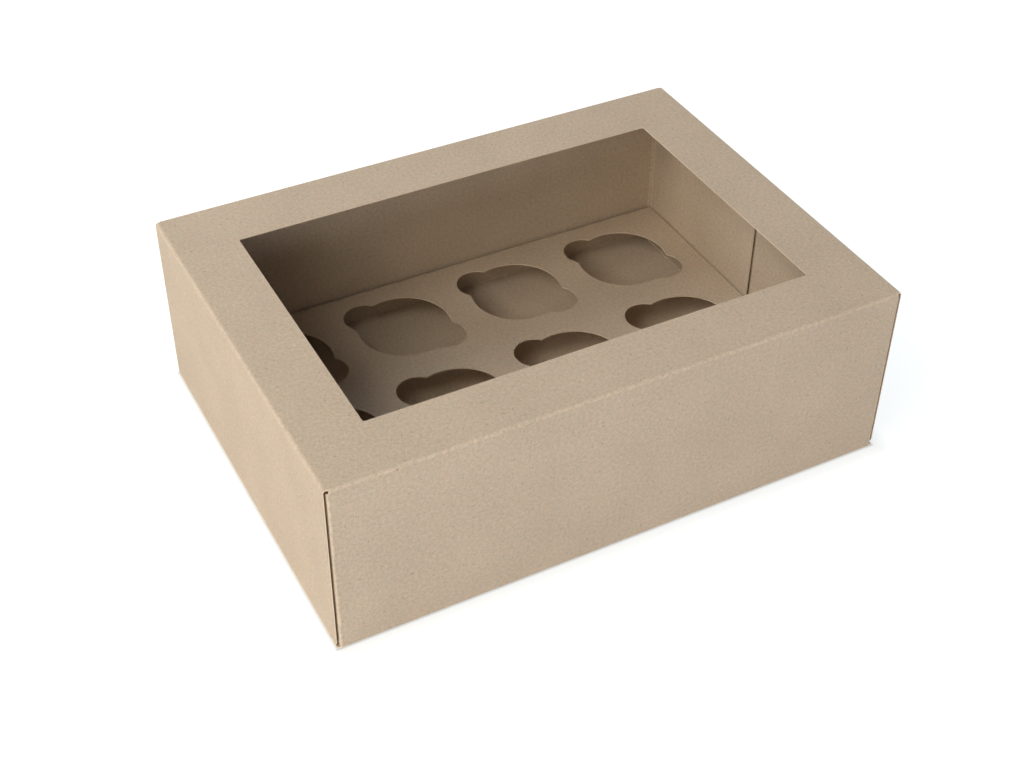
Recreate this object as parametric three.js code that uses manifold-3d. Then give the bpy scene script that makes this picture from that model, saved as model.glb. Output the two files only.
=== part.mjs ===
// Cupcake box: a kraft board carton with an open window in its top, a tuck flap at each end
// and a loose insert with twelve notched holes. Millimetres, +Z up, origin under the middle of
// the bottom. +X runs along the length, and the front is the side at -Y.
import * as THREE from 'three';
import { mergeVertices } from 'three/addons/utils/BufferGeometryUtils.js';
import Module from 'manifold-3d';

// Driving dimensions: carton
const boxLength = 350;
const boxWidth = 256;
const boxHeight = 115;
const board = 0.6;
const longFoldRadius = 1.0;
const windowEndMargin = 38;
const windowSideMargin = 38.7;
const windowCornerRadius = 1.5;
const glueFlapHeight = 15;

// Driving dimensions: dust flaps, folded in from the ends of the front and the back
const dustFoldRadius = 1.1;
const dustSlitWidth = 3.0;
const dustSlitOffset = 6;
const dustShoulder = 3;
const dustCornerRadius = 5;

// Driving dimensions: end flaps with their tuck tongues
const hingeFoldRadius = 2.0;
const flapSideInset = 1.2;
const flapCornerRadius = 4;
const tuckFoldRadius = 1.0;
const tongueLength = 10;
const tongueSideInset = 3;
const tongueCornerRadius = 7;
const tongueTiltMargin = 1.0;

// Driving dimensions: insert
const insertHeight = 21.2;
const insertFoldRadius = 0.9;
const holePitch = 80.6;
const holeEdgeWeb = 6;
const holeRadius = 30;
const notchRadius = 13.4;
const notchReach = 27.3;
const notchDirection = 135;

// Clearances between pieces
const restGap = 0.3;
const flapStandOff = 1.3;
const tongueSlideGap = 0.6;
const insertEndGap = 1.4;
const insertEndSlack = 3.2;
const insertSideGap = 0.3;
const hingeSetOut = 0.1;
const glueSink = 0.05;
const joinLap = 1.0;
const cutReach = 5;

// Facets in a full turn
const foldFacets = 24;
const cornerFacets = 32;
const holeFacets = 48;

const halfLength = boxLength / 2;
const halfWidth = boxWidth / 2;
const degree = Math.PI / 180;

// Where the ends of the panels lie
const dustOuterX = halfLength - board - flapStandOff;
const dustInnerX = dustOuterX - board;
const sidePanelEndX = dustOuterX - dustFoldRadius;
const hingeFoldX = halfLength - hingeFoldRadius;
const hingeFoldZ = boxHeight - hingeFoldRadius;
const dustTopZ = hingeFoldZ - restGap;
const dustFootAtFoldZ = board + longFoldRadius;

// Where an end flap turns and how its tongue lies: the tilt lets the tip swing past the bottom panel
const flapHalfWidth = halfWidth - flapSideInset;
const flapFootZ = board + restGap;
const hingeX = halfLength + hingeSetOut;
const hingeZ = hingeFoldZ - restGap / 2;
const flapReach = hingeZ - flapFootZ;
const tongueTilt = Math.asin(tongueLength / (2 * flapReach)) + tongueTiltMargin * degree;
const tongueBow = flapReach * (1 - Math.cos(tongueTilt));
const dustFootZ = flapFootZ + tongueBow + board + tongueSlideGap;

// Where the insert lies
const innerFoldRadius = longFoldRadius - board;
const insertHalfWidth = halfWidth - 2 * board - innerFoldRadius - insertSideGap;
const insertHalfLength = dustInnerX - insertEndGap - insertEndSlack / 2;
const insertX = insertEndSlack / 2;

// How many cup holes fit in the insert, with a web of board left round the outer ones
const notchReachX = Math.abs(notchReach * Math.cos(notchDirection * degree)) + notchRadius;
const notchReachY = Math.abs(notchReach * Math.sin(notchDirection * degree)) + notchRadius;
const holeColumns = holeCount(insertHalfLength, Math.max(holeRadius, notchReachX));
const holeRows = holeCount(insertHalfWidth, Math.max(holeRadius, notchReachY));

// Vertices closer than this are one, and a piece's colours are those of its board
const mergeDistance = 1e-4;
const cartonColor = 0xbca88c;
const flapColor = 0xd0bfa8;
const insertColor = 0xb39d80;
const boardRoughness = 0.92;

const wasm = await Module();
wasm.setup();

function holeCount(halfSpan, holeReach) {
  return Math.floor(2 * (halfSpan - holeReach - holeEdgeWeb) / holePitch) + 1;
}

// A closed geometry as a solid that can be joined and cut
function toSolid(geometry) {
  const bare = geometry.clone();
  bare.deleteAttribute('normal');
  bare.deleteAttribute('uv');
  const merged = mergeVertices(bare, mergeDistance);
  return new wasm.Manifold(new wasm.Mesh({
    numProp: 3,
    vertProperties: new Float32Array(merged.attributes.position.array),
    triVerts: new Uint32Array(merged.index.array),
  }));
}

function toGeometry(solid) {
  const mesh = solid.getMesh();
  const geometry = new THREE.BufferGeometry();
  geometry.setAttribute('position', new THREE.BufferAttribute(mesh.vertProperties, 3));
  geometry.setIndex(new THREE.BufferAttribute(mesh.triVerts, 1));
  geometry.computeVertexNormals();
  return geometry;
}

// Prisms: an outline in the plane across the axis, pushed along the axis from one place to another
function prism(shape, basis, from, to) {
  const geometry = new THREE.ExtrudeGeometry(shape, {
    depth: to - from,
    bevelEnabled: false,
    curveSegments: 1,
  });
  geometry.applyMatrix4(basis);
  return toSolid(geometry);
}

function asShape(outline) {
  return outline instanceof THREE.Shape ? outline : new THREE.Shape(outline);
}

// Outline in (y, z)
function prismAlongX(outline, from, to) {
  const basis = new THREE.Matrix4().makeBasis(
    new THREE.Vector3(0, 1, 0), new THREE.Vector3(0, 0, 1), new THREE.Vector3(1, 0, 0));
  return prism(asShape(outline), basis.setPosition(from, 0, 0), from, to);
}

// Outline in (x, z)
function prismAlongY(outline, from, to) {
  const basis = new THREE.Matrix4().makeBasis(
    new THREE.Vector3(1, 0, 0), new THREE.Vector3(0, 0, 1), new THREE.Vector3(0, -1, 0));
  return prism(asShape(outline), basis.setPosition(0, to, 0), from, to);
}

// Outline in (x, y)
function prismAlongZ(outline, from, to) {
  return prism(asShape(outline), new THREE.Matrix4().makeTranslation(0, 0, from), from, to);
}

// Points on an arc, both ends included
function arc(centreX, centreY, radius, fromAngle, toAngle, facetsPerTurn) {
  const count = Math.max(2, Math.ceil(Math.abs(toAngle - fromAngle) / (2 * Math.PI) * facetsPerTurn));
  const points = [];
  for (let i = 0; i <= count; i += 1) {
    const angle = fromAngle + (toAngle - fromAngle) * i / count;
    points.push(new THREE.Vector2(
      centreX + radius * Math.cos(angle), centreY + radius * Math.sin(angle)));
  }
  return points;
}

// A polygon whose corners are rounded, each corner given as [x, y, radius]
function roundedOutline(corners) {
  const points = [];
  corners.forEach(([x, y, radius], index) => {
    const corner = new THREE.Vector2(x, y);
    if (radius <= 0) {
      points.push(corner);
      return;
    }
    const before = corners[(index + corners.length - 1) % corners.length];
    const after = corners[(index + 1) % corners.length];
    const back = new THREE.Vector2(before[0], before[1]).sub(corner).normalize();
    const ahead = new THREE.Vector2(after[0], after[1]).sub(corner).normalize();
    const half = Math.acos(THREE.MathUtils.clamp(back.dot(ahead), -1, 1)) / 2;
    const centre = back.clone().add(ahead).normalize().multiplyScalar(radius / Math.sin(half)).add(corner);
    const start = corner.clone().addScaledVector(back, radius / Math.tan(half)).sub(centre).angle();
    const end = corner.clone().addScaledVector(ahead, radius / Math.tan(half)).sub(centre).angle();
    const turn = THREE.MathUtils.euclideanModulo(end - start + Math.PI, 2 * Math.PI) - Math.PI;
    points.push(...arc(centre.x, centre.y, radius, start, start + turn, cornerFacets));
  });
  return points;
}

// The edge-on outline of a strip of board. The path is the middle of the strip: a start, a heading
// and then steps, each a run { run: length } or a bend { turn: angle, radius: outer radius }.
function stripOutline(start, heading, steps) {
  const leftFace = [];
  const rightFace = [];
  const place = new THREE.Vector2(start[0], start[1]);
  let angle = heading;
  const mark = () => {
    const side = new THREE.Vector2(-Math.sin(angle), Math.cos(angle)).multiplyScalar(board / 2);
    leftFace.push(place.clone().add(side));
    rightFace.push(place.clone().sub(side));
  };
  mark();
  for (const step of steps) {
    if (step.run !== undefined) {
      place.addScaledVector(new THREE.Vector2(Math.cos(angle), Math.sin(angle)), step.run);
      mark();
      continue;
    }
    const middleRadius = step.radius - board / 2;
    const count = Math.max(2, Math.ceil(Math.abs(step.turn) / (2 * Math.PI) * foldFacets));
    const sign = Math.sign(step.turn);
    const centre = place.clone().add(
      new THREE.Vector2(-Math.sin(angle), Math.cos(angle)).multiplyScalar(sign * middleRadius));
    for (let i = 0; i < count; i += 1) {
      angle += step.turn / count;
      place.copy(centre).add(
        new THREE.Vector2(Math.sin(angle), -Math.cos(angle)).multiplyScalar(sign * middleRadius));
      mark();
    }
  }
  return [...leftFace, ...rightFace.reverse()];
}

// The carton's tube, cut across: glue flap, bottom, front and top are one strip, and the back comes
// down from the top outside the glue flap
function cartonTube() {
  const quarter = Math.PI / 2;
  const bend = { turn: -quarter, radius: longFoldRadius };
  const glueFlapY = halfWidth - board - board / 2 + glueSink;
  const frontY = -halfWidth + board / 2;
  const bottomZ = board / 2;
  const topZ = boxHeight - board / 2;
  const bendReach = longFoldRadius - board / 2;
  const wrap = stripOutline([glueFlapY, glueFlapHeight], -quarter, [
    { run: glueFlapHeight - bottomZ - bendReach },
    bend,
    { run: glueFlapY - frontY - 2 * bendReach },
    bend,
    { run: topZ - bottomZ - 2 * bendReach },
    bend,
    { run: cutReach },
  ]);
  const cover = stripOutline([frontY + bendReach, topZ], 0, [
    { run: boxWidth - 2 * longFoldRadius },
    bend,
    { run: topZ - bendReach },
  ]);
  const wrapSolid = prismAlongX(wrap, -sidePanelEndX, sidePanelEndX);
  return wrapSolid.add(prismAlongX(cover, -sidePanelEndX, sidePanelEndX));
}

// The rounded fold over which an end flap hangs, with the end of the top panel that leads to it
function hingeFold(end) {
  const lead = joinLap + (hingeFoldX - sidePanelEndX);
  const strip = stripOutline([hingeFoldX - lead, boxHeight - board / 2], 0, [
    { run: lead },
    { turn: -Math.PI / 2, radius: hingeFoldRadius },
  ]);
  const outline = strip.map((point) => new THREE.Vector2(end * point.x, point.y));
  return prismAlongY(outline, -flapHalfWidth, flapHalfWidth);
}

// The bottom panel reaches past the tube's folds to the end flap
function bottomEnd(end) {
  const edge = halfWidth - board - longFoldRadius;
  const near = end * (sidePanelEndX - joinLap);
  const far = end * (halfLength - restGap);
  const outline = [
    new THREE.Vector2(near, -edge),
    new THREE.Vector2(far, -edge),
    new THREE.Vector2(far, edge),
    new THREE.Vector2(near, edge),
  ];
  return prismAlongZ(outline, 0, board);
}

// A dust flap: the panel's end folded in across the end of the box, up to the slit
function dustFlap(end, side) {
  const tipY = side * dustSlitOffset - dustSlitWidth / 2;
  const reach = halfWidth - dustFoldRadius - tipY;
  const strip = stripOutline([sidePanelEndX - joinLap, halfWidth - board / 2], 0, [
    { run: joinLap },
    { turn: -Math.PI / 2, radius: dustFoldRadius },
    { run: reach },
  ]);
  const plan = strip.map((point) => new THREE.Vector2(end * point.x, side * point.y));
  const blank = prismAlongZ(plan, dustFootAtFoldZ, dustTopZ);
  const foldY = halfWidth - dustFoldRadius;
  const shoulderY = foldY - dustShoulder;
  const footZ = Math.max(dustFootZ, dustFootAtFoldZ);
  const face = roundedOutline([
    [side * (halfWidth + cutReach), dustFootAtFoldZ - joinLap, 0],
    [side * foldY, dustFootAtFoldZ - joinLap, 0],
    [side * foldY, dustFootAtFoldZ, 0],
    [side * shoulderY, footZ, 0],
    [side * tipY, footZ, dustCornerRadius],
    [side * tipY, dustTopZ - dustShoulder, dustCornerRadius],
    [side * shoulderY, dustTopZ - dustShoulder, 0],
    [side * foldY, dustTopZ, 0],
    [side * foldY, dustTopZ + joinLap, 0],
    [side * (halfWidth + cutReach), dustTopZ + joinLap, 0],
  ]);
  const low = Math.min(end * (dustInnerX - cutReach), end * (dustOuterX + cutReach));
  const high = Math.max(end * (dustInnerX - cutReach), end * (dustOuterX + cutReach));
  return blank.intersect(prismAlongX(face, low, high));
}

function cartonBody() {
  let solid = cartonTube();
  for (const end of [-1, 1]) {
    solid = solid.add(hingeFold(end)).add(bottomEnd(end));
    for (const side of [-1, 1]) {
      solid = solid.add(dustFlap(end, side));
    }
  }
  const windowX = halfLength - windowEndMargin;
  const windowY = halfWidth - windowSideMargin;
  const opening = roundedOutline([
    [-windowX, -windowY, windowCornerRadius],
    [windowX, -windowY, windowCornerRadius],
    [windowX, windowY, windowCornerRadius],
    [-windowX, windowY, windowCornerRadius],
  ]);
  return solid.subtract(prismAlongZ(opening, boxHeight - cutReach, boxHeight + cutReach));
}

// An end flap in its own frame: the hinge line at the origin, the panel hanging down, outward is +X
function endFlap() {
  const outerX = halfLength - hingeX;
  const topZ = hingeFoldZ - restGap - hingeZ;
  const footZ = flapFootZ - hingeZ;
  const bendReach = tuckFoldRadius - board / 2;
  const strip = stripOutline([outerX - board / 2, topZ], -Math.PI / 2, [
    { run: topZ - footZ - board / 2 - bendReach },
    { turn: -(Math.PI / 2 + tongueTilt), radius: tuckFoldRadius },
    { run: tongueLength - tuckFoldRadius },
  ]);
  const blank = prismAlongY(strip, -flapHalfWidth, flapHalfWidth);
  const tongueHalfWidth = flapHalfWidth - tongueSideInset;
  const tongueRootX = outerX - tuckFoldRadius;
  const tongueTipX = outerX - tongueLength;
  const plan = roundedOutline([
    [outerX + cutReach, -flapHalfWidth - cutReach, 0],
    [outerX + cutReach, flapHalfWidth + cutReach, 0],
    [tongueRootX, flapHalfWidth + cutReach, 0],
    [tongueRootX, tongueHalfWidth, 0],
    [tongueTipX, tongueHalfWidth, tongueCornerRadius],
    [tongueTipX, -tongueHalfWidth, tongueCornerRadius],
    [tongueRootX, -tongueHalfWidth, 0],
    [tongueRootX, -flapHalfWidth - cutReach, 0],
  ]);
  const front = roundedOutline([
    [-flapHalfWidth, topZ + cutReach, 0],
    [-flapHalfWidth, footZ, flapCornerRadius],
    [-tongueHalfWidth, footZ, 0],
    [-tongueHalfWidth, footZ - cutReach, 0],
    [tongueHalfWidth, footZ - cutReach, 0],
    [tongueHalfWidth, footZ, 0],
    [flapHalfWidth, footZ, flapCornerRadius],
    [flapHalfWidth, topZ + cutReach, 0],
  ]);
  const shaped = blank.intersect(prismAlongZ(plan, footZ - cutReach, topZ + cutReach));
  return shaped.intersect(prismAlongX(front, -2 * tongueLength, cutReach));
}

// One cup hole: a circle with a finger notch on each side of it, as one run of arcs
function holeOutline(centreX, centreY) {
  const holeHalf = Math.acos(
    (notchReach ** 2 + holeRadius ** 2 - notchRadius ** 2) / (2 * notchReach * holeRadius));
  const notchHalf = Math.PI - Math.acos(
    (notchReach ** 2 + notchRadius ** 2 - holeRadius ** 2) / (2 * notchReach * notchRadius));
  const points = [];
  for (const turn of [0, Math.PI]) {
    const axis = notchDirection * degree + turn;
    const notchX = centreX + notchReach * Math.cos(axis);
    const notchY = centreY + notchReach * Math.sin(axis);
    const open = Math.PI - notchHalf;
    points.push(...arc(notchX, notchY, notchRadius, axis - open, axis + open, holeFacets));
    const rim = arc(centreX, centreY, holeRadius, axis + holeHalf, axis + Math.PI - holeHalf, holeFacets);
    points.push(...rim.slice(1, -1));
  }
  return points;
}

// The insert in its own frame: standing on z = 0, centred on its hole pattern. Its long edges are
// folded down as legs
function insertSheet() {
  const flatY = insertHalfWidth - insertFoldRadius;
  const sheet = new THREE.Shape([
    new THREE.Vector2(-insertHalfLength, -flatY),
    new THREE.Vector2(insertHalfLength, -flatY),
    new THREE.Vector2(insertHalfLength, flatY),
    new THREE.Vector2(-insertHalfLength, flatY),
  ]);
  for (let column = 0; column < holeColumns; column += 1) {
    for (let row = 0; row < holeRows; row += 1) {
      const x = (column - (holeColumns - 1) / 2) * holePitch;
      const y = (row - (holeRows - 1) / 2) * holePitch;
      sheet.holes.push(new THREE.Path(holeOutline(x, y)));
    }
  }
  let solid = prismAlongZ(sheet, insertHeight - board, insertHeight);
  for (const side of [-1, 1]) {
    const strip = stripOutline([flatY - joinLap, insertHeight - board / 2], 0, [
      { run: joinLap },
      { turn: -Math.PI / 2, radius: insertFoldRadius },
      { run: insertHeight - insertFoldRadius },
    ]);
    const leg = strip.map((point) => new THREE.Vector2(side * point.x, point.y));
    solid = solid.add(prismAlongX(leg, -insertHalfLength, insertHalfLength));
  }
  return solid;
}

// Kraft board: outside, and the slightly darker insert
function kraft(color) {
  return new THREE.MeshStandardMaterial({ color, roughness: boardRoughness, metalness: 0 });
}

function piece(name, solid, color) {
  const mesh = new THREE.Mesh(toGeometry(solid), kraft(color));
  mesh.name = name;
  return mesh;
}

const group = new THREE.Group();

group.add(piece('carton_body', cartonBody(), cartonColor));

const flapSolid = endFlap();
const rightFlap = piece('right_end_flap', flapSolid, flapColor);
rightFlap.position.set(hingeX, 0, hingeZ);
group.add(rightFlap);

const leftFlap = piece('left_end_flap', flapSolid, flapColor);
leftFlap.position.set(-hingeX, 0, hingeZ);
leftFlap.rotation.z = Math.PI;
group.add(leftFlap);

const insert = piece('insert', insertSheet(), insertColor);
insert.position.set(insertX, 0, board);
group.add(insert);

export default group;
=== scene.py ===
"""Cupcake box of kraft board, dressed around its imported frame. Metres, +Z up, front at -Y."""

import math

import bpy
import numpy as np
from mathutils import Matrix, Vector
from mathutils.geometry import delaunay_2d_cdt


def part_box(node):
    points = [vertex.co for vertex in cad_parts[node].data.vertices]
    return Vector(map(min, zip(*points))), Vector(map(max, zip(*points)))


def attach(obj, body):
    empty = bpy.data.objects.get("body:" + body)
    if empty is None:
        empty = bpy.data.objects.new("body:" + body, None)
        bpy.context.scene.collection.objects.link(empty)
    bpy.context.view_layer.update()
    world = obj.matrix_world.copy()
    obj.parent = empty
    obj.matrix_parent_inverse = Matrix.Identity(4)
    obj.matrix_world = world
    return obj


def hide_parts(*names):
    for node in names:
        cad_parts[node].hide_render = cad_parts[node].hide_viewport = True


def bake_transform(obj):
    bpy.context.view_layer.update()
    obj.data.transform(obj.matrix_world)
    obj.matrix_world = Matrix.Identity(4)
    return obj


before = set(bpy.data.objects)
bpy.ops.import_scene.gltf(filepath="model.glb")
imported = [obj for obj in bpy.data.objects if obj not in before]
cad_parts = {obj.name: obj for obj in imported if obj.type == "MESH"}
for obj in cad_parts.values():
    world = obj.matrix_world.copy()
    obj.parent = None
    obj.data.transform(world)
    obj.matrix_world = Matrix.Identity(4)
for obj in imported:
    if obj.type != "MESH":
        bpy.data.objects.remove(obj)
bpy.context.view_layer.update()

# Sizes that come from the frame
BODY_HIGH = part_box("carton_body")[1]
INSERT_LOW, INSERT_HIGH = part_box("insert")
HALF_LENGTH = BODY_HIGH.x
HALF_WIDTH = BODY_HIGH.y
HEIGHT = BODY_HIGH.z

# The board and its folds, as the carton is made
BOARD = 0.0006
LONG_FOLD = 0.0010
DUST_FOLD = 0.0011
HINGE_FOLD = 0.0020
TUCK_FOLD = 0.0010
INSERT_FOLD = 0.0009
FLAP_STAND_OFF = 0.0013
FLAP_SIDE_INSET = 0.0012
REST_GAP = 0.0003
WINDOW_END_MARGIN = 0.038
WINDOW_SIDE_MARGIN = 0.0387
WINDOW_CORNER = 0.0015
GLUE_FLAP_HEIGHT = 0.015
GLUE_LINE = 0.00004
GLUE_FLAP_TAPER = 0.006
DUST_SLIT = 0.0030
DUST_SLIT_OFFSET = 0.006
DUST_SHOULDER = 0.003
DUST_CORNER = 0.005
TONGUE_SLIDE_GAP = 0.0006
TONGUE_LENGTH = 0.010
TONGUE_SIDE_INSET = 0.003
TONGUE_CORNER = 0.007
FLAP_CORNER = 0.004
TONGUE_TILT_MARGIN = math.radians(1.0)
HOLE_COLUMNS = 4
HOLE_ROWS = 3
HOLE_PITCH = 0.0806
HOLE_RADIUS = 0.030
NOTCH_RADIUS = 0.0134
NOTCH_REACH = 0.0273
NOTCH_DIRECTION = math.radians(135)
NICK_PITCH = 0.022
NICK_LENGTH = 0.003
NICK_WIDTH = 0.0010

# How far each long fold bulges on its inner side, and how far a fold's painted highlight (painted shade
# on the insert) reaches into the panels beside it
BEAD = 0.00022
BEAD_REACH = 0.0010
CREASE_REACH = 0.0006

# How strong the painted highlight is in two lines beside each fold inside the box and over the soft
# hinges, and the painted shade in a dark line along the insert's folds
INNER_FOLD_HIGHLIGHT = 2.5
HINGE_HIGHLIGHT = 0.25
INSERT_FOLD_SHADE = 3.0

# A slow unevenness of the walls: height, waves as (along, across, phase), and how far it keeps off folds
RIPPLE_HEIGHT = 0.00016
RIPPLE_WAVES = ((23.1, 11.7, 0.4), (-17.3, 29.9, 2.1), (41.3, -7.9, 4.0))
RIPPLE_KEEP_OFF = 0.03
RIPPLE_END_KEEP_OFF = 0.01

# The inner face takes its texture from another part of the board's pattern
INNER_FACE_SHIFT = (1.37, 0.83)

# How fine the meshes are
PANEL_STEP = 0.0075
FOLD_STEPS = 8
BESIDE_FOLD = (0.0007, 0.0018)
HINGE_COLUMNS = 34
FLAP_COLUMNS = 36
ARC_STEP = math.radians(6)
EDGE_KEEP_OFF = 0.00025
TOLERANCE = 1e-9
SHORTEST_STEP = 1e-6
JOIN_DISTANCE = 1e-7
SMALLEST_AREA = 1e-13

# Where the panels end, as in the carton
DUST_OUTER_X = HALF_LENGTH - BOARD - FLAP_STAND_OFF
SIDE_END_X = DUST_OUTER_X - DUST_FOLD
HINGE_FOLD_X = HALF_LENGTH - HINGE_FOLD
HINGE_FOLD_Z = HEIGHT - HINGE_FOLD
DUST_TOP = HINGE_FOLD_Z - REST_GAP
DUST_FOOT_AT_FOLD = BOARD + LONG_FOLD
FLAP_HALF_WIDTH = HALF_WIDTH - FLAP_SIDE_INSET
FLAP_FOOT = BOARD + REST_GAP
FLAP_REACH = HINGE_FOLD_Z - REST_GAP / 2 - FLAP_FOOT
TONGUE_TILT = math.asin(TONGUE_LENGTH / (2 * FLAP_REACH)) + TONGUE_TILT_MARGIN
TONGUE_BOW = FLAP_REACH * (1 - math.cos(TONGUE_TILT))
DUST_FOOT = FLAP_FOOT + TONGUE_BOW + BOARD + TONGUE_SLIDE_GAP


class Path:
    """The middle of a strip of board seen edge-on: straight runs and bends, by distance along it."""

    def __init__(self, start, heading):
        self.pieces = []
        self.place = np.array(start, float)
        self.heading = heading
        self.length = 0.0
        self.folds = []

    def run(self, length):
        self.pieces.append(("run", self.length, length, self.place.copy(), self.heading, 0.0, 0.0))
        self.place = self.place + length * np.array([math.cos(self.heading), math.sin(self.heading)])
        self.length += length
        return self

    def bend(self, turn, outer_radius):
        radius = outer_radius - BOARD / 2
        side = math.copysign(1.0, turn)
        normal = np.array([-math.sin(self.heading), math.cos(self.heading)])
        centre = self.place + side * radius * normal
        length = abs(turn) * radius
        self.folds.append((self.length, self.length + length))
        self.pieces.append(("bend", self.length, length, centre, self.heading, side, radius))
        self.heading += turn
        self.place = centre - side * radius * np.array([-math.sin(self.heading), math.cos(self.heading)])
        self.length += length
        return self

    def at(self, distance):
        """Places and unit normals, on the left of the way along, for an array of distances."""
        distance = np.asarray(distance, float)
        place = np.zeros((len(distance), 2))
        normal = np.zeros((len(distance), 2))
        last = len(self.pieces) - 1
        for index, (kind, begin, length, origin, heading, side, radius) in enumerate(self.pieces):
            everywhere = np.ones(len(distance), bool)
            after = distance >= begin - TOLERANCE if index else everywhere
            before = distance < begin + length - TOLERANCE if index < last else everywhere
            here = after & before
            along = distance[here] - begin
            if kind == "run":
                place[here] = origin + along[:, None] * np.array([math.cos(heading), math.sin(heading)])
                normal[here] = [-math.sin(heading), math.cos(heading)]
            else:
                angle = heading + side * along / radius
                out = np.stack([-np.sin(angle), np.cos(angle)], 1)
                place[here] = origin - side * radius * out
                normal[here] = out
        return place, normal

    def lines(self):
        """Distances at which a mesh needs a row of points: fine in the bends and beside them."""
        marks = [0.0, self.length]
        for low, high in self.folds:
            marks += list(np.linspace(low, high, FOLD_STEPS + 1))
            for beside in BESIDE_FOLD:
                marks += [low - beside, high + beside]
        marks = sorted(m for m in marks if -TOLERANCE <= m <= self.length + TOLERANCE)
        full = []
        for low, high in zip(marks, marks[1:]):
            if high - low < SHORTEST_STEP:
                continue
            count = max(1, int(math.ceil((high - low) / PANEL_STEP)))
            full += list(np.linspace(low, high, count, endpoint=False))
        return np.array(full + [marks[-1]])


def arc(centre_x, centre_y, radius, begin, end):
    """Points on an arc, both ends included."""
    count = max(2, int(math.ceil(abs(end - begin) / ARC_STEP)))
    angles = np.linspace(begin, end, count + 1)
    return [(centre_x + radius * math.cos(a), centre_y + radius * math.sin(a)) for a in angles]


def rounded(corners):
    """A polygon with rounded corners, each given as (x, y, radius)."""
    points = []
    for index, (x, y, radius) in enumerate(corners):
        if radius <= 0:
            points.append((x, y))
            continue
        corner = Vector((x, y))
        back = (Vector(corners[index - 1][:2]) - corner).normalized()
        ahead = (Vector(corners[(index + 1) % len(corners)][:2]) - corner).normalized()
        half = back.angle(ahead) / 2
        centre = corner + (back + ahead).normalized() * (radius / math.sin(half))
        start = corner + back * (radius / math.tan(half)) - centre
        stop = corner + ahead * (radius / math.tan(half)) - centre
        begin = math.atan2(start.y, start.x)
        turn = (math.atan2(stop.y, stop.x) - begin + math.pi) % (2 * math.pi) - math.pi
        points += arc(centre.x, centre.y, radius, begin, begin + turn)
    return points


def inside(points, polygon):
    """Which points lie in the polygon, by the even-odd rule."""
    x, y = points[:, 0], points[:, 1]
    result = np.zeros(len(points), bool)
    ring = np.array(polygon)
    for (x0, y0), (x1, y1) in zip(ring, np.roll(ring, -1, 0)):
        if abs(y1 - y0) < 1e-12:
            continue
        crosses = (y0 > y) != (y1 > y)
        result ^= crosses & (x < x0 + (y - y0) * (x1 - x0) / (y1 - y0))
    return result


def near_edges(points, polygon, reach):
    """Which points lie within reach of the polygon's outline."""
    result = np.zeros(len(points), bool)
    ring = np.array(polygon)
    for a, b in zip(ring, np.roll(ring, -1, 0)):
        d = b - a
        size = float(d @ d)
        if size < 1e-16:
            continue
        t = np.clip(((points - a) @ d) / size, 0, 1)
        gap = points - (a + t[:, None] * d)
        result |= (gap ** 2).sum(1) < reach ** 2
    return result


def refined(polygon, step):
    """The outline with its long sides split, so that the mesh stays even along them."""
    points = []
    ring = list(polygon)
    for (x0, y0), (x1, y1) in zip(ring, ring[1:] + ring[:1]):
        count = max(1, int(math.ceil(math.hypot(x1 - x0, y1 - y0) / step)))
        points += [(x0 + (x1 - x0) * i / count, y0 + (y1 - y0) * i / count) for i in range(count)]
    return points


def cut_blank(outline, holes, across, along, fold_columns=(), fold_rows=()):
    """A flat blank as points and triangles: a grid inside the outline and round the holes, with an
    unbroken line of edges along each fold row and column."""
    rings = [outline] + list(holes)
    grid = np.array([(a, b) for a in across for b in along])
    keep = inside(grid, outline)
    for hole in holes:
        keep &= ~inside(grid, hole)
    for ring in rings:
        keep &= ~near_edges(grid, ring, EDGE_KEEP_OFF)
    points = [tuple(p) for p in grid[keep]]
    edges = []
    for ring in rings:
        first = len(points)
        points += ring
        edges += [(first + i, first + (i + 1) % len(ring)) for i in range(len(ring))]
    low = np.min(outline, 0) - PANEL_STEP
    high = np.max(outline, 0) + PANEL_STEP
    for row in fold_rows:
        edges.append((len(points), len(points) + 1))
        points += [(low[0], row), (high[0], row)]
    for column in fold_columns:
        edges.append((len(points), len(points) + 1))
        points += [(column, low[1]), (column, high[1])]
    made = delaunay_2d_cdt([Vector(p) for p in points], edges, [], 0, JOIN_DISTANCE)
    flat = np.array([tuple(v) for v in made[0]])
    triangles = np.array(made[2])
    middle = flat[triangles].mean(1)
    good = inside(middle, outline)
    for hole in holes:
        good &= ~inside(middle, hole)
    triangles = triangles[good]
    a, b, c = (flat[triangles[:, i]] for i in range(3))
    area = (b[:, 0] - a[:, 0]) * (c[:, 1] - a[:, 1]) - (b[:, 1] - a[:, 1]) * (c[:, 0] - a[:, 0])
    triangles = triangles[np.abs(area) > SMALLEST_AREA]
    area = area[np.abs(area) > SMALLEST_AREA]
    triangles[area < 0] = triangles[area < 0][:, ::-1]
    used = np.unique(triangles)
    new = np.full(len(flat), -1)
    new[used] = np.arange(len(used))
    return flat[used], new[triangles]


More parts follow.
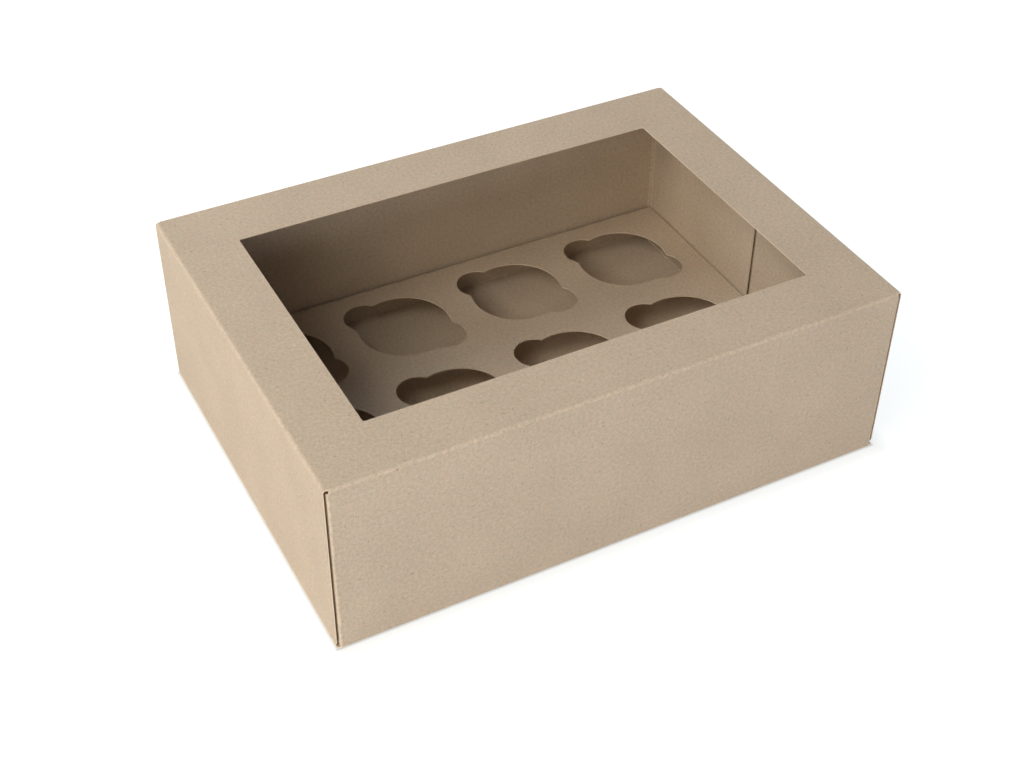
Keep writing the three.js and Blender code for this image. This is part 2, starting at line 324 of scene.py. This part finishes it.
def board_piece(name, flat, triangles, middle, out, crease, bead, materials):
    """A closed sheet of board from its middle surface: an outer face, an inner face and a cut edge."""
    count = len(flat)
    inward = out * (BOARD / 2 + BEAD * bead)[:, None]
    vertices = np.concatenate([middle + out * BOARD / 2, middle - inward])
    a, b, c = (vertices[triangles[:, i]] for i in range(3))
    facing = np.einsum("ij,ij->i", np.cross(b - a, c - a), out[triangles[:, 0]])
    outer = triangles.copy()
    outer[facing < 0] = outer[facing < 0][:, ::-1]
    edges = {}
    for p, q, r in outer.tolist():
        for e in ((p, q), (q, r), (r, p)):
            edges[e] = edges.get(e, 0) + 1
    border = [e for e in edges if (e[1], e[0]) not in edges]
    faces = outer.tolist()
    faces += [[r + count, q + count, p + count] for p, q, r in outer.tolist()]
    faces += [[q, p, p + count, q + count] for p, q in border]
    mesh = bpy.data.meshes.new(name)
    mesh.from_pydata(vertices.tolist(), [], faces)
    sheet_faces = 2 * len(outer)
    smooth = np.ones(len(faces), bool)
    smooth[sheet_faces:] = False
    mesh.polygons.foreach_set("use_smooth", smooth)
    index = np.zeros(len(faces), np.int32)
    index[sheet_faces:] = 1
    mesh.polygons.foreach_set("material_index", index)
    rim = set(tuple(sorted(e)) for e in border)
    rim |= set((low + count, high + count) for low, high in set(rim))
    sharp = [tuple(sorted(e.vertices)) in rim for e in mesh.edges]
    mesh.edges.foreach_set("use_edge_sharp", sharp)
    layer = mesh.uv_layers.new(name="blank")
    loops = np.zeros(len(mesh.loops), np.int32)
    mesh.loops.foreach_get("vertex_index", loops)
    uv = np.concatenate([flat, flat + np.array(INNER_FACE_SHIFT)])[loops]
    layer.data.foreach_set("uv", uv.astype(np.float32).ravel())
    attribute = mesh.attributes.new("crease", "FLOAT", "POINT")
    # The inner face gets a painted highlight in two lines beside each fold, where the fold's bead would
    # catch the light
    painted_bead_highlight = 4 * bead * (1 - bead)
    shown = np.concatenate([crease, INNER_FOLD_HIGHLIGHT * painted_bead_highlight])
    attribute.data.foreach_set("value", shown.astype(np.float32))
    for material in materials:
        mesh.materials.append(material)
    mesh.validate()
    piece = bpy.data.objects.new(name, mesh)
    bpy.context.scene.collection.objects.link(piece)
    return piece


def crease_amount(distance, folds, reach):
    """How strongly each point shows a crease: 1 in a fold, fading out over reach."""
    amount = np.zeros(len(distance))
    for low, high in folds:
        gap = np.maximum(np.maximum(low - distance, distance - high), 0)
        amount = np.maximum(amount, np.clip(1 - gap / reach, 0, 1))
    return amount


def fold_lines(folds):
    """The distances along a path at which its folds' rows lie."""
    return np.concatenate([np.linspace(low, high, FOLD_STEPS + 1) for low, high in folds])


def ripple(u, v, size):
    """A slow unevenness of a sheet, from -size to size, the same each run."""
    waves = sum(np.sin(along * u + across * v + phase) for along, across, phase in RIPPLE_WAVES)
    return size * waves / len(RIPPLE_WAVES)


# The look of kraft board. Each noise layer is (scale, detail, roughness), in patterns per metre, and each
# shift is how far the layer moves the brightness either way
KRAFT = (0.530, 0.428, 0.326)
WARM_TINT = (1.017, 0.995, 0.982)
COOL_TINT = (0.985, 1.003, 1.012)
CLOUD = (26, 2, 0.5)
CLOUD_SHIFT = 0.03
MOTTLE = (480, 3, 0.6)
MOTTLE_SHIFT = 0.09
TINT = (170, 3, 0.6)
TINT_SPREAD = (0.35, 0.65)
GRAIN = (1500, 2, 0.6)
GRAIN_SHIFT = 0.10
NOISE_SPREAD = (0.3, 0.7)
HAIR = (1.0, 2, 0.5)
PALE_FIBRE_ANGLES = (17, 74, 128, 163)
PALE_FIBRE_STRETCH = (240, 2600)
PALE_FIBRE_SPREAD = (0.66, 0.74)
PALE_FIBRE_LIGHT = 0.07
DARK_FIBRE_ANGLES = (41, 102)
DARK_FIBRE_STRETCH = (300, 2200)
DARK_FIBRE_SPREAD = (0.70, 0.78)
DARK_FIBRE_SHADE = 0.16
CREASE_SPREAD = (0.3, 0.6)
PAINTED_CREASE_STRENGTH = (0.05, 0.14)
CUT_EDGE_LIGHT = 0.42
FLECK_SCALE = 170
FLECK_SIZE = (0.05, 0.09)
DARK_FLECKS_ABOVE = 0.86
DARK_FLECK_STRENGTH = 0.6
DARK_FLECK_TINT = (0.45, 0.38, 0.30)
PALE_FLECKS_ABOVE = 0.93
PALE_FLECK_STRENGTH = 0.45
PALE_FLECK_LIGHT = 1.6
BOARD_SPECULAR = 0.25
BOARD_ROUGHNESS = (0.80, 0.92)
BUMP_STRENGTH = 0.35
BUMP_HEIGHT = 0.00012
GRAIN_BUMP = 0.5
MOTTLE_BUMP = 0.6
FIBRE_BUMP = 0.5


# Materials
def node(tree, kind, **settings):
    made = tree.nodes.new(kind)
    for key, value in settings.items():
        setattr(made, key, value)
    return made


def calculated(tree, operation, *values):
    """A maths node's result. Each value is a number or another node's output."""
    made = node(tree, "ShaderNodeMath", operation=operation)
    for socket, value in zip(made.inputs, values):
        if isinstance(value, (int, float)):
            socket.default_value = value
        else:
            tree.links.new(value, socket)
    return made.outputs["Value"]


def kraft(name, color, cut_edge=False):
    """Kraft board: a mottled, fibrous brown with a few flecks, paler on its cut edges, with a painted
    highlight along creases and a painted shade along the insert's folds.
    """
    material = bpy.data.materials.new(name)
    material.use_nodes = True
    tree = material.node_tree
    tree.nodes.clear()
    link = tree.links.new
    output = node(tree, "ShaderNodeOutputMaterial")
    shader = node(tree, "ShaderNodeBsdfPrincipled")
    link(shader.outputs["BSDF"], output.inputs["Surface"])
    shader.inputs["Specular IOR Level"].default_value = BOARD_SPECULAR
    shader.inputs["Sheen Weight"].default_value = 0.0
    where = node(tree, "ShaderNodeUVMap", uv_map="blank")

    def noise(layer, vector=None):
        scale, detail, roughness = layer
        made = node(tree, "ShaderNodeTexNoise", noise_dimensions="2D")
        made.inputs["Scale"].default_value = scale
        made.inputs["Detail"].default_value = detail
        made.inputs["Roughness"].default_value = roughness
        link((vector or where.outputs["UV"]), made.inputs["Vector"])
        return made.outputs["Fac"]

    def stretched(angle, stretch):
        made = node(tree, "ShaderNodeMapping")
        made.inputs["Rotation"].default_value = (0, 0, math.radians(angle))
        made.inputs["Scale"].default_value = (*stretch, 1)
        link(where.outputs["UV"], made.inputs["Vector"])
        return made.outputs["Vector"]

    def span(value, spread, to_low, to_high):
        made = node(tree, "ShaderNodeMapRange")
        made.inputs["From Min"].default_value = spread[0]
        made.inputs["From Max"].default_value = spread[1]
        made.inputs["To Min"].default_value = to_low
        made.inputs["To Max"].default_value = to_high
        link(value, made.inputs["Value"])
        return made.outputs["Result"]

    def calc(operation, *values):
        return calculated(tree, operation, *values)

    def blend(kind, factor, a, b):
        made = node(tree, "ShaderNodeMix", data_type="RGBA", blend_type=kind)
        for socket, value in ((made.inputs[0], factor), (made.inputs[6], a), (made.inputs[7], b)):
            if isinstance(value, (int, float)):
                socket.default_value = value
            elif isinstance(value, tuple):
                socket.default_value = (*value, 1)
            else:
                link(value, socket)
        return made.outputs[2]

    def shifted(layer, size):
        return span(layer, NOISE_SPREAD, -size, size)

    cloud = noise(CLOUD)
    mottle = noise(MOTTLE)
    tint = noise(TINT)
    grain = noise(GRAIN)
    warm = tuple(c * f for c, f in zip(color, WARM_TINT))
    cool = tuple(c * f for c, f in zip(color, COOL_TINT))
    base = blend("MIX", span(tint, TINT_SPREAD, 0, 1), warm, cool)
    light = calc("ADD", shifted(cloud, CLOUD_SHIFT), shifted(mottle, MOTTLE_SHIFT))
    light = calc("ADD", light, shifted(grain, GRAIN_SHIFT))
    fibres = None
    for angle in PALE_FIBRE_ANGLES:
        hair = noise(HAIR, stretched(angle, PALE_FIBRE_STRETCH))
        line = span(hair, PALE_FIBRE_SPREAD, 0, 1)
        fibres = line if fibres is None else calc("MAXIMUM", fibres, line)
    light = calc("ADD", light, calc("MULTIPLY", fibres, PALE_FIBRE_LIGHT))
    for angle in DARK_FIBRE_ANGLES:
        hair = noise(HAIR, stretched(angle, DARK_FIBRE_STRETCH))
        light = calc("SUBTRACT", light, span(hair, DARK_FIBRE_SPREAD, 0, DARK_FIBRE_SHADE))
    crease = node(tree, "ShaderNodeAttribute", attribute_name="crease").outputs["Fac"]
    # The crease attribute paints a mottled highlight along folds, and a shade where it is negative
    painted_crease_shading = calc("MULTIPLY", crease, span(mottle, CREASE_SPREAD, *PAINTED_CREASE_STRENGTH))
    light = calc("ADD", light, painted_crease_shading)
    if cut_edge:
        light = calc("ADD", light, CUT_EDGE_LIGHT)
    factor = calc("ADD", light, 1.0)
    grey = node(tree, "ShaderNodeCombineColor")
    for socket in grey.inputs[:3]:
        link(factor, socket)
    base = blend("MULTIPLY", 1.0, base, grey.outputs["Color"])
    fleck = node(tree, "ShaderNodeTexVoronoi", voronoi_dimensions="2D", feature="F1")
    fleck.inputs["Scale"].default_value = FLECK_SCALE
    link(where.outputs["UV"], fleck.inputs["Vector"])
    dot = span(fleck.outputs["Distance"], FLECK_SIZE, 1, 0)
    pick = node(tree, "ShaderNodeSeparateColor")
    link(fleck.outputs["Color"], pick.inputs["Color"])
    dark = calc("MULTIPLY", dot, calc("GREATER_THAN", pick.outputs[0], DARK_FLECKS_ABOVE))
    pale = calc("MULTIPLY", dot, calc("GREATER_THAN", pick.outputs[1], PALE_FLECKS_ABOVE))
    base = blend("MULTIPLY", calc("MULTIPLY", dark, DARK_FLECK_STRENGTH), base, DARK_FLECK_TINT)
    pale_color = tuple(min(1, c * PALE_FLECK_LIGHT) for c in color)
    base = blend("MIX", calc("MULTIPLY", pale, PALE_FLECK_STRENGTH), base, pale_color)
    link(base, shader.inputs["Base Color"])
    link(span(mottle, NOISE_SPREAD, *BOARD_ROUGHNESS), shader.inputs["Roughness"])
    height = calc("ADD", calc("MULTIPLY", grain, GRAIN_BUMP), calc("MULTIPLY", mottle, MOTTLE_BUMP))
    height = calc("ADD", height, calc("MULTIPLY", fibres, FIBRE_BUMP))
    bump = node(tree, "ShaderNodeBump")
    bump.inputs["Strength"].default_value = BUMP_STRENGTH
    bump.inputs["Distance"].default_value = BUMP_HEIGHT
    link(height, bump.inputs["Height"])
    link(bump.outputs["Normal"], shader.inputs["Normal"])
    return material


outside = kraft("kraft_board", KRAFT)
edge = kraft("kraft_cut_edge", KRAFT, cut_edge=True)
FINISH = (outside, edge)


# The carton: glue flap, bottom, front, top and back, with a dust flap at each end of front and back
def make_shell():
    quarter = math.pi / 2
    middle_fold = LONG_FOLD - BOARD / 2
    glue_y = HALF_WIDTH - BOARD - BOARD / 2 - GLUE_LINE
    front_y = -HALF_WIDTH + BOARD / 2
    bottom_z = BOARD / 2
    top_z = HEIGHT - BOARD / 2
    round_box = Path((glue_y, GLUE_FLAP_HEIGHT), -quarter)
    round_box.run(GLUE_FLAP_HEIGHT - bottom_z - middle_fold)
    round_box.bend(-quarter, LONG_FOLD)
    bottom_from = round_box.length
    round_box.run(glue_y - front_y - 2 * middle_fold)
    bottom_to = round_box.length
    round_box.bend(-quarter, LONG_FOLD)
    front_from = round_box.length
    round_box.run(top_z - bottom_z - 2 * middle_fold)
    front_to = round_box.length
    round_box.bend(-quarter, LONG_FOLD)
    top_from = round_box.length
    round_box.run(2 * HALF_WIDTH - 2 * LONG_FOLD)
    top_to = round_box.length
    round_box.bend(-quarter, LONG_FOLD)
    back_from = round_box.length
    round_box.run(HEIGHT - LONG_FOLD)
    back_to = round_box.length

    dust = Path((0, 0), 0).run(SIDE_END_X).bend(-quarter, DUST_FOLD)
    fold_length = dust.folds[0][1]
    dust.run(HALF_WIDTH + 2 * DUST_SLIT_OFFSET)
    straight = Path((0, 0), 0).run(HALF_LENGTH)

    def height_to_front(z):
        return front_from + z - LONG_FOLD

    def height_to_back(z):
        return back_from + HEIGHT - LONG_FOLD - z

    def dust_side(to_s, slit_side):
        """Outline of a dust flap, from the panel's foot up to its top."""
        reach = HALF_WIDTH - DUST_FOLD - (slit_side * DUST_SLIT_OFFSET + DUST_SLIT / 2)
        tip = fold_length + reach
        return [
            (SIDE_END_X, to_s(DUST_FOOT_AT_FOLD), 0),
            (fold_length, to_s(DUST_FOOT_AT_FOLD), 0),
            (fold_length + DUST_SHOULDER, to_s(DUST_FOOT), 0),
            (tip, to_s(DUST_FOOT), DUST_CORNER),
            (tip, to_s(DUST_TOP - DUST_SHOULDER), DUST_CORNER),
            (fold_length + DUST_SHOULDER, to_s(DUST_TOP - DUST_SHOULDER), 0),
            (fold_length, to_s(DUST_TOP), 0),
            (SIDE_END_X, to_s(DUST_TOP), 0),
        ]

    top_inset = FLAP_SIDE_INSET - LONG_FOLD
    side = [(SIDE_END_X - GLUE_FLAP_TAPER, 0, 0), (SIDE_END_X, GLUE_FLAP_HEIGHT - 2 * LONG_FOLD, 0)]
    side += [(SIDE_END_X, bottom_from, 0), (HALF_LENGTH - REST_GAP, bottom_from, 0)]
    side += [(HALF_LENGTH - REST_GAP, bottom_to, 0), (SIDE_END_X, bottom_to, 0)]
    side += dust_side(height_to_front, -1)
    side += [(SIDE_END_X, top_from + top_inset, 0), (HINGE_FOLD_X, top_from + top_inset, 0)]
    side += [(HINGE_FOLD_X, top_to - top_inset, 0), (SIDE_END_X, top_to - top_inset, 0)]
    side += dust_side(height_to_back, 1)[::-1]
    side += [(SIDE_END_X, back_to, 0)]
    corners = side + [(-x, s, r) for x, s, r in reversed(side)]
    outline = refined(rounded(corners), PANEL_STEP)

    window_x = HALF_LENGTH - WINDOW_END_MARGIN
    middle_s = (top_from + top_to) / 2
    window_s = HALF_WIDTH - WINDOW_SIDE_MARGIN
    window = refined(rounded([
        (-window_x, middle_s - window_s, WINDOW_CORNER),
        (window_x, middle_s - window_s, WINDOW_CORNER),
        (window_x, middle_s + window_s, WINDOW_CORNER),
        (-window_x, middle_s + window_s, WINDOW_CORNER),
    ]), PANEL_STEP)

    across = dust.lines()
    across = np.unique(np.round(np.concatenate([-across, across]), 7))
    dust_lines = fold_lines(dust.folds)
    flat, triangles = cut_blank(
        outline, [window], across, round_box.lines(),
        np.concatenate([-dust_lines, dust_lines]), fold_lines(round_box.folds))

    x, s = flat[:, 0], flat[:, 1]
    place, normal = round_box.at(s)
    is_side = ((s > front_from) & (s < front_to)) | (s > back_from)
    end_place, end_normal = dust.at(np.abs(x))
    flat_place, flat_normal = straight.at(np.abs(x))
    end_place = np.where(is_side[:, None], end_place, flat_place)
    end_normal = np.where(is_side[:, None], end_normal, flat_normal)
    sign = np.sign(x)
    on_wall = np.abs(x) < SIDE_END_X - RIPPLE_END_KEEP_OFF
    far_from_folds = 1 - crease_amount(s, round_box.folds, RIPPLE_KEEP_OFF)
    lift = ripple(x, s, RIPPLE_HEIGHT) * on_wall * far_from_folds * (s > bottom_to)
    middle = np.stack([
        sign * end_place[:, 0],
        place[:, 0] + normal[:, 0] * (end_place[:, 1] + lift),
        place[:, 1] + normal[:, 1] * (end_place[:, 1] + lift),
    ], 1)
    out = np.stack([
        sign * end_normal[:, 0],
        normal[:, 0] * end_normal[:, 1],
        normal[:, 1] * end_normal[:, 1],
    ], 1)
    # A painted highlight along the outside of each fold, fading into the panels beside it
    crease = np.maximum(
        crease_amount(s, round_box.folds, CREASE_REACH),
        crease_amount(np.abs(x), dust.folds, CREASE_REACH) * is_side,
    )
    bead = np.maximum(
        crease_amount(s, round_box.folds, BEAD_REACH),
        crease_amount(np.abs(x), dust.folds, BEAD_REACH) * is_side,
    )
    piece = board_piece("carton_shell", flat, triangles, middle, out, crease, bead, FINISH)
    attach(piece, "carton")
    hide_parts("carton_body")
    return piece


# The soft fold between the top and each end flap
def make_hinge_fold(end, name):
    path = Path((HINGE_FOLD_X, HEIGHT - BOARD / 2), 0)
    path.bend(-math.pi / 2, HINGE_FOLD)
    outline = refined([
        (-FLAP_HALF_WIDTH, 0), (FLAP_HALF_WIDTH, 0),
        (FLAP_HALF_WIDTH, path.length), (-FLAP_HALF_WIDTH, path.length),
    ], PANEL_STEP)
    across = np.linspace(-FLAP_HALF_WIDTH, FLAP_HALF_WIDTH, HINGE_COLUMNS + 1)
    rows = fold_lines(path.folds)
    flat, triangles = cut_blank(outline, [], across, rows, (), rows)
    place, normal = path.at(flat[:, 1])
    middle = np.stack([end * place[:, 0], flat[:, 0], place[:, 1]], 1)
    out = np.stack([end * normal[:, 0], np.zeros(len(flat)), normal[:, 1]], 1)
    # A faint painted highlight over the whole hinge fold
    painted_crease_shading = np.full(len(flat), HINGE_HIGHLIGHT)
    piece = board_piece(name, flat, triangles, middle, out, painted_crease_shading, 0 * painted_crease_shading, FINISH)
    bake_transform(piece)
    return piece


# An end flap, hanging from its fold, with the tuck tongue turned in at its foot
def make_end_flap(end, name, body, cad_node):
    path = Path((HALF_LENGTH - BOARD / 2, HINGE_FOLD_Z), -math.pi / 2)
    path.run(HINGE_FOLD_Z - FLAP_FOOT - TUCK_FOLD)
    plate_to = path.length
    path.bend(-(math.pi / 2 + TONGUE_TILT), TUCK_FOLD)
    tongue_from = path.length
    path.run(TONGUE_LENGTH - TUCK_FOLD)
    tongue_half = FLAP_HALF_WIDTH - TONGUE_SIDE_INSET
    outline = refined(rounded([
        (-FLAP_HALF_WIDTH, 0, 0),
        (FLAP_HALF_WIDTH, 0, 0),
        (FLAP_HALF_WIDTH, plate_to + TUCK_FOLD / 2, FLAP_CORNER),
        (tongue_half, tongue_from, 0),
        (tongue_half, path.length, TONGUE_CORNER),
        (-tongue_half, path.length, TONGUE_CORNER),
        (-tongue_half, tongue_from, 0),
        (-FLAP_HALF_WIDTH, plate_to + TUCK_FOLD / 2, FLAP_CORNER),
    ]), PANEL_STEP)
    across = np.linspace(-FLAP_HALF_WIDTH, FLAP_HALF_WIDTH, FLAP_COLUMNS + 1)
    flat, triangles = cut_blank(outline, [], across, path.lines(), (), fold_lines(path.folds))
    place, normal = path.at(flat[:, 1])
    middle = np.stack([end * place[:, 0], flat[:, 0], place[:, 1]], 1)
    out = np.stack([end * normal[:, 0], np.zeros(len(flat)), normal[:, 1]], 1)
    # A painted highlight along the outside of the tuck fold
    crease = crease_amount(flat[:, 1], path.folds, CREASE_REACH)
    piece = board_piece(name, flat, triangles, middle, out, crease, 0 * crease, FINISH)
    # The tongue lies inside the box, where its rim doesn't show pale
    for face in piece.data.polygons:
        if abs(face.center.x) < HALF_LENGTH - BOARD - TUCK_FOLD:
            face.material_index = 0
    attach(piece, body)
    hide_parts(cad_node)
    return piece


def hole_outline(x, y):
    """One cup hole: a circle with a finger notch on each side of it."""
    squares = NOTCH_REACH ** 2 + HOLE_RADIUS ** 2 - NOTCH_RADIUS ** 2
    hole_half = math.acos(squares / (2 * NOTCH_REACH * HOLE_RADIUS))
    squares = NOTCH_REACH ** 2 + NOTCH_RADIUS ** 2 - HOLE_RADIUS ** 2
    notch_open = math.acos(squares / (2 * NOTCH_REACH * NOTCH_RADIUS))
    points = []
    for axis in (NOTCH_DIRECTION, NOTCH_DIRECTION + math.pi):
        notch_x = x + NOTCH_REACH * math.cos(axis)
        notch_y = y + NOTCH_REACH * math.sin(axis)
        swing = math.pi - notch_open
        points += arc(notch_x, notch_y, NOTCH_RADIUS, axis - swing, axis + swing)
        points += arc(x, y, HOLE_RADIUS, axis + hole_half, axis + math.pi - hole_half)[1:-1]
    return points


# The insert: a sheet with its long edges folded down as legs
def make_insert():
    half_length = (INSERT_HIGH.x - INSERT_LOW.x) / 2
    middle_x = (INSERT_HIGH.x + INSERT_LOW.x) / 2
    half_width = INSERT_HIGH.y
    leg = INSERT_HIGH.z - INSERT_LOW.z - INSERT_FOLD
    path = Path((-half_width + BOARD / 2, INSERT_LOW.z), math.pi / 2)
    path.run(leg)
    path.bend(-math.pi / 2, INSERT_FOLD)
    path.run(2 * (half_width - INSERT_FOLD))
    path.bend(-math.pi / 2, INSERT_FOLD)
    path.run(leg)
    middle_v = path.length / 2
    outline = refined([
        (-half_length, 0), (half_length, 0), (half_length, path.length), (-half_length, path.length),
    ], PANEL_STEP)
    holes = []
    for column in range(HOLE_COLUMNS):
        for row in range(HOLE_ROWS):
            x = (column - (HOLE_COLUMNS - 1) / 2) * HOLE_PITCH
            y = (row - (HOLE_ROWS - 1) / 2) * HOLE_PITCH
            holes.append(hole_outline(x, middle_v + y))
    count = int((2 * half_length - NICK_PITCH) / NICK_PITCH)
    for low, high in path.folds:
        near_v = (low + high) / 2 - NICK_WIDTH / 2
        far_v = (low + high) / 2 + NICK_WIDTH / 2
        for i in range(count + 1):
            left = (i - count / 2) * NICK_PITCH - NICK_LENGTH / 2
            right = (i - count / 2) * NICK_PITCH + NICK_LENGTH / 2
            holes.append([(left, near_v), (right, near_v), (right, far_v), (left, far_v)])
    steps = int(2 * half_length / PANEL_STEP) + 1
    across = np.linspace(-half_length, half_length, steps)
    flat, triangles = cut_blank(outline, holes, across, path.lines(), (), fold_lines(path.folds))
    place, normal = path.at(flat[:, 1])
    middle = np.stack([middle_x + flat[:, 0], place[:, 0], place[:, 1]], 1)
    out = np.stack([np.zeros(len(flat)), normal[:, 0], normal[:, 1]], 1)
    # A painted shade in a dark line along each of the insert's folds
    crease = -INSERT_FOLD_SHADE * crease_amount(flat[:, 1], path.folds, CREASE_REACH)
    piece = board_piece("insert_sheet", flat, triangles, middle, out, crease, 0 * crease, FINISH)
    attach(piece, "carton")
    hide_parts("insert")
    return piece


# Camera at the photograph's viewing angle: place, direction and focal length for a 1024 x 768 frame
IMAGE_WIDTH = 1024
CAMERA_PLACE = Vector((-0.357, -0.659, 0.656))
CAMERA_AZIMUTH = math.radians(-28.18)
CAMERA_ELEVATION = math.radians(40.35)
CAMERA_ROLL = math.radians(0.67)
CAMERA_FOCAL_PIXELS = 1607
SENSOR_WIDTH = 36.0


def make_camera():
    data = bpy.data.cameras.new("camera")
    data.sensor_width = SENSOR_WIDTH
    data.lens = CAMERA_FOCAL_PIXELS * SENSOR_WIDTH / IMAGE_WIDTH
    camera = bpy.data.objects.new("camera", data)
    bpy.context.scene.collection.objects.link(camera)
    sa, ca = math.sin(CAMERA_AZIMUTH), math.cos(CAMERA_AZIMUTH)
    se, ce = math.sin(CAMERA_ELEVATION), math.cos(CAMERA_ELEVATION)
    back = Vector((sa * ce, -ca * ce, se))
    right = Vector((ca, sa, 0))
    up = back.cross(right)
    sr, cr = math.sin(CAMERA_ROLL), math.cos(CAMERA_ROLL)
    rolled_right = right * cr + up * sr
    rolled_up = up * cr - right * sr
    turn = Matrix((rolled_right, rolled_up, back)).transposed()
    camera.matrix_world = Matrix.Translation(CAMERA_PLACE) @ turn.to_4x4()
    bpy.context.scene.camera = camera


def area_light(name, place, aim, size, power, color):
    data = bpy.data.lights.new(name, "AREA")
    data.shape = "RECTANGLE"
    data.size, data.size_y = size
    data.energy = power
    data.color = color
    light = bpy.data.objects.new(name, data)
    light.location = place
    light.rotation_euler = (Vector(aim) - Vector(place)).to_track_quat("-Z", "Y").to_euler()
    bpy.context.scene.collection.objects.link(light)


# Soft boxes round the table: name, place, size, power and colour
BOX_MIDDLE = (0, 0, 0.05)
LIGHTS = (
    ("upper_left", (-1.5, -0.5, 1.5), (1.3, 1.3), 24.0, (1.0, 0.94, 0.83)),
    ("left_front", (-1.4, -1.5, 0.8), (1.4, 1.2), 14.5, (1.0, 0.94, 0.80)),
    ("low_left", (-1.9, -0.5, 0.7), (1.4, 1.2), 1.5, (0.5, 0.7, 1.0)),
    ("back", (-0.9, 1.3, 1.5), (1.4, 1.2), 24.0, (0.93, 0.96, 1.0)),
    ("low_front", (0.1, -2.0, 0.3), (1.6, 0.5), 11.5, (0.84, 0.89, 1.0)),
    ("low_right", (1.9, 0.9, 0.4), (1.4, 0.6), 11.0, (1.0, 0.99, 0.97)),
)

WORLD_STRENGTH = 0.12
WORLD_COLOR = (0.97, 0.98, 1.0, 1)


def seen_directly(tree):
    """One where a ray comes from the camera, a mirror or a pane, and zero for diffuse light."""
    path = node(tree, "ShaderNodeLightPath")
    value = path.outputs["Is Camera Ray"]
    for name in ("Is Glossy Ray", "Is Transmission Ray"):
        value = calculated(tree, "MAXIMUM", value, path.outputs[name])
    return value


def make_world():
    world = bpy.data.worlds.new("studio")
    bpy.context.scene.world = world
    world.use_nodes = True
    tree = world.node_tree
    tree.nodes.clear()
    output = node(tree, "ShaderNodeOutputWorld")
    soft = node(tree, "ShaderNodeBackground")
    soft.inputs["Color"].default_value = WORLD_COLOR
    soft.inputs["Strength"].default_value = WORLD_STRENGTH
    white = node(tree, "ShaderNodeBackground")
    white.inputs["Color"].default_value = (1, 1, 1, 1)
    white.inputs["Strength"].default_value = 1.0
    mix = node(tree, "ShaderNodeMixShader")
    tree.links.new(seen_directly(tree), mix.inputs[0])
    tree.links.new(soft.outputs[0], mix.inputs[1])
    tree.links.new(white.outputs[0], mix.inputs[2])
    tree.links.new(mix.outputs[0], output.inputs["Surface"])


# The floor is pale to the object. Seen directly it is white, apart from a faint cool shadow from the
# lamps and a painted shadow close round the foot of the box. Its brightness rises a little with each
# metre outward
FLOOR_SIZE = 6.0
FLOOR_COLOR = (0.80, 0.81, 0.82, 1)
FLOOR_SHADOW_COLOR = (0.32, 0.29, 0.25, 1)
FLOOR_GLOW_COLOR = (0.92, 0.97, 1.0, 1)
FLOOR_GLOW = 0.90
FLOOR_GLOW_RISE = 0.25
FLOOR_GLOW_MOST = 1.1
# The painted shadow round the foot: how deep it is and how far it reaches, broad and at the contact line
FOOT_SHADE = 0.16
FOOT_SHADE_REACH = 0.012
CONTACT_SHADE = 0.30
CONTACT_SHADE_REACH = 0.0013


def floor_glow(tree):
    """How bright the floor is when seen directly, with a painted shadow close round the foot of the box.
    """
    place = node(tree, "ShaderNodeNewGeometry")
    split = node(tree, "ShaderNodeSeparateXYZ")
    tree.links.new(place.outputs["Position"], split.inputs[0])

    def calc(operation, *values):
        return calculated(tree, operation, *values)

    away = []
    for axis, half in ((0, HALF_LENGTH), (1, HALF_WIDTH)):
        past = calc("SUBTRACT", calc("ABSOLUTE", split.outputs[axis]), half)
        away.append(calc("POWER", calc("MAXIMUM", past, 0), 2))
    distance = calc("SQRT", calc("ADD", *away))
    brightness = calc("ADD", calc("MULTIPLY", distance, FLOOR_GLOW_RISE), FLOOR_GLOW)
    brightness = calc("MINIMUM", brightness, FLOOR_GLOW_MOST)
    # Painted shadow: the floor's glow drops close to the box's footprint, deepest at the contact line
    for shade, reach in ((FOOT_SHADE, FOOT_SHADE_REACH), (CONTACT_SHADE, CONTACT_SHADE_REACH)):
        near = calc("MAXIMUM", calc("SUBTRACT", 1, calc("DIVIDE", distance, reach)), 0)
        brightness = calc("SUBTRACT", brightness, calc("MULTIPLY", near, shade))
    return brightness


def make_floor():
    mesh = bpy.data.meshes.new("floor")
    half = FLOOR_SIZE / 2
    corners = [(-half, -half, 0), (half, -half, 0), (half, half, 0), (-half, half, 0)]
    mesh.from_pydata(corners, [], [(0, 1, 2, 3)])
    floor = bpy.data.objects.new("floor", mesh)
    bpy.context.scene.collection.objects.link(floor)
    material = bpy.data.materials.new("pale_floor")
    material.use_nodes = True
    tree = material.node_tree
    tree.nodes.clear()
    output = node(tree, "ShaderNodeOutputMaterial")
    lit = node(tree, "ShaderNodeBsdfDiffuse")
    lit.inputs["Color"].default_value = FLOOR_COLOR
    shadow = node(tree, "ShaderNodeBsdfDiffuse")
    shadow.inputs["Color"].default_value = FLOOR_SHADOW_COLOR
    glow = node(tree, "ShaderNodeEmission")
    glow.inputs["Color"].default_value = FLOOR_GLOW_COLOR
    tree.links.new(floor_glow(tree), glow.inputs["Strength"])
    both = node(tree, "ShaderNodeAddShader")
    tree.links.new(shadow.outputs[0], both.inputs[0])
    tree.links.new(glow.outputs[0], both.inputs[1])
    mix = node(tree, "ShaderNodeMixShader")
    tree.links.new(seen_directly(tree), mix.inputs[0])
    tree.links.new(lit.outputs[0], mix.inputs[1])
    tree.links.new(both.outputs[0], mix.inputs[2])
    tree.links.new(mix.outputs[0], output.inputs["Surface"])
    mesh.materials.append(material)


make_camera()
make_shell()
make_insert()
for end, side_name in ((-1, "left"), (1, "right")):
    body = side_name + "_flap"
    make_hinge_fold(end, side_name + "_hinge_fold")
    make_end_flap(end, side_name + "_flap_sheet", body, side_name + "_end_flap")
for name, place, size, power, color in LIGHTS:
    area_light(name, place, BOX_MIDDLE, size, power, color)
make_world()
make_floor()
bpy.context.scene.view_settings.view_transform = "Standard"
